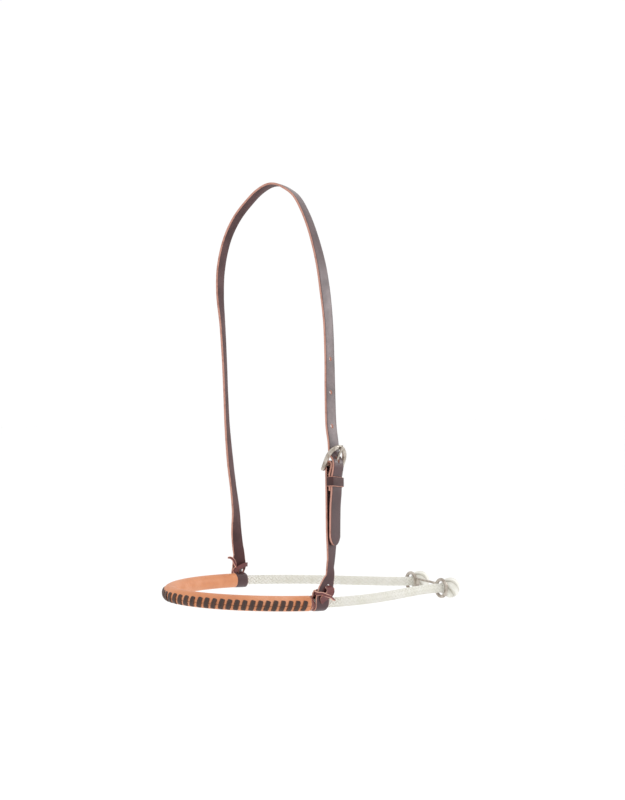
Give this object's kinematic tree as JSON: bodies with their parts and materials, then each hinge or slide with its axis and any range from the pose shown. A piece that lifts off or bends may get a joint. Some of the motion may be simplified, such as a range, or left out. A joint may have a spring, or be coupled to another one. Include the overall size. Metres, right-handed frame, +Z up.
{
  "type": "bitless hackamore",
  "caption": "Bitless headstall: a stiff rope noseband with a laced leather nose cover, hung from a narrow buckled leather strap, its rope ends joined by a slotted metal connector.",
  "frame": {"origin": "underside of the crown strap at its highest point, where it rests over the horse's poll", "axes": "+X from the nose towards the jaw connector, +Y towards the horse's off (right) side, +Z up"},
  "size_m": [0.3195, 0.1836, 0.4207],
  "materials": {
    "latigo": "oiled burgundy leather with light cut edges",
    "cover_leather": "natural vegetable-tanned leather",
    "black_lace": "flat dark lace",
    "pink_lace": "thin raw-edged lace",
    "rope": "braided off-white rope",
    "nickel": "worn nickel casting",
    "thread": "waxed thread"
  },
  "bodies": {
    "headstall": {"crown_strap": "latigo", "cheek_strap": "latigo", "chape_stitching": "thread", "keeper": "latigo"},
    "noseband": {"rope": "rope", "nose_cover": "cover_leather", "cover_lacing": "black_lace", "near_cover_binding": "pink_lace", "near_rope_wrap": "latigo", "far_rope_wrap": "latigo", "near_tie_lace": "latigo", "far_tie_lace": "latigo", "near_end_knot": "rope", "far_end_knot": "rope"},
    "connector": {"connector": "nickel"},
    "buckle_frame": {"buckle_frame": "nickel"},
    "buckle_tongue": {"buckle_tongue": "nickel"}
  },
  "joints": [
    {"name": "noseband_swing", "type": "hinge", "parent": "headstall", "child": "noseband", "pos_m": [0.0088, 0, -0.371], "axis": [0, 1, 0], "range_deg": [-18, 18]},
    {"name": "connector_tilt", "type": "hinge", "parent": "noseband", "child": "connector", "pos_m": [0.18313, 0, -0.40776], "axis": [0, 1, 0], "range_deg": [-8, 8]},
    {"name": "buckle_swing", "type": "hinge", "parent": "headstall", "child": "buckle_frame", "pos_m": [0.0214, -0.07729, -0.27167], "axis": [0.9185, 0.3754, -0.1244], "range_deg": [0, 6]},
    {"name": "tongue_swing", "type": "hinge", "parent": "buckle_frame", "child": "buckle_tongue", "pos_m": [0.0214, -0.07729, -0.27167], "axis": [0.9185, 0.3754, -0.1244], "range_deg": [0, 10]}
  ]
}
